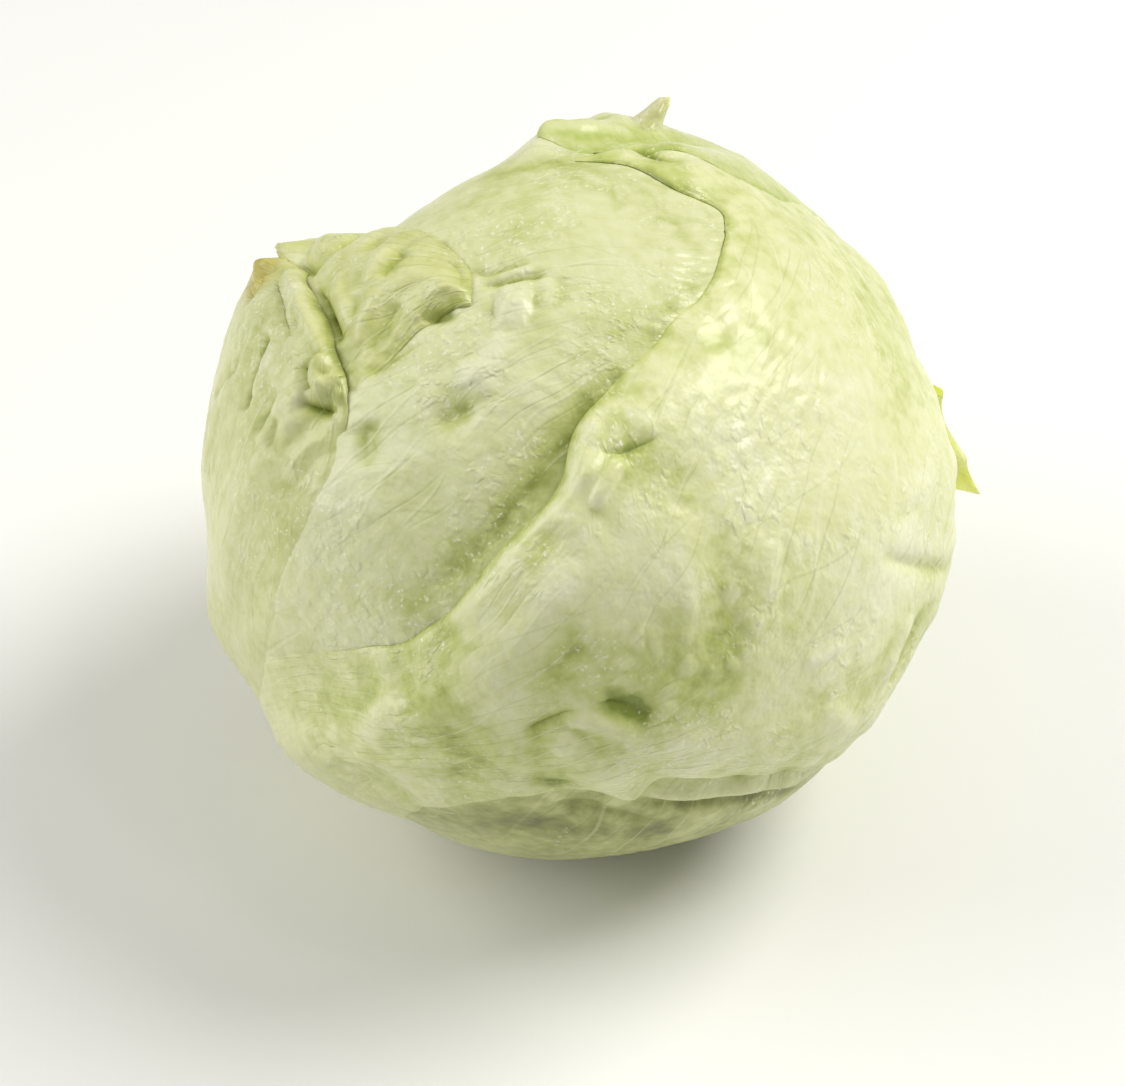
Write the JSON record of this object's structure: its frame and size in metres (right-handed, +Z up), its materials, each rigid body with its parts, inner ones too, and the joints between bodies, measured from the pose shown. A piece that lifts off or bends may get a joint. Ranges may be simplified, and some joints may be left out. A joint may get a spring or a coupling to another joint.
{
  "type": "iceberg lettuce",
  "caption": "Head of iceberg lettuce, as cut and trimmed: a tight ball of pale green leaves on a short cut stem, wrapped in loose veined outer leaves, lying on its lower shoulder.",
  "frame": {"origin": "on the surface the head rests on, under the middle of its bounding box", "axes": "+Z up; -Y is the front, the side seen from; the cut stem points to the left, -X, and down"},
  "size_m": [0.167, 0.1672, 0.1474],
  "materials": {
    "inner_leaves": "satin",
    "stem": "satin",
    "left_leaf": "satin",
    "under_leaf": "satin",
    "right_leaf": "satin",
    "crumpled_leaf": "satin",
    "side_leaf": "satin",
    "back_leaf": "satin"
  },
  "bodies": {
    "root": {"inner_head": "inner_leaves", "stem": "stem", "left_leaf": "left_leaf", "under_leaf": "under_leaf", "right_leaf": "right_leaf", "crumpled_leaf": "crumpled_leaf", "side_leaf": "side_leaf", "back_leaf": "back_leaf"}
  },
  "joints": []
}
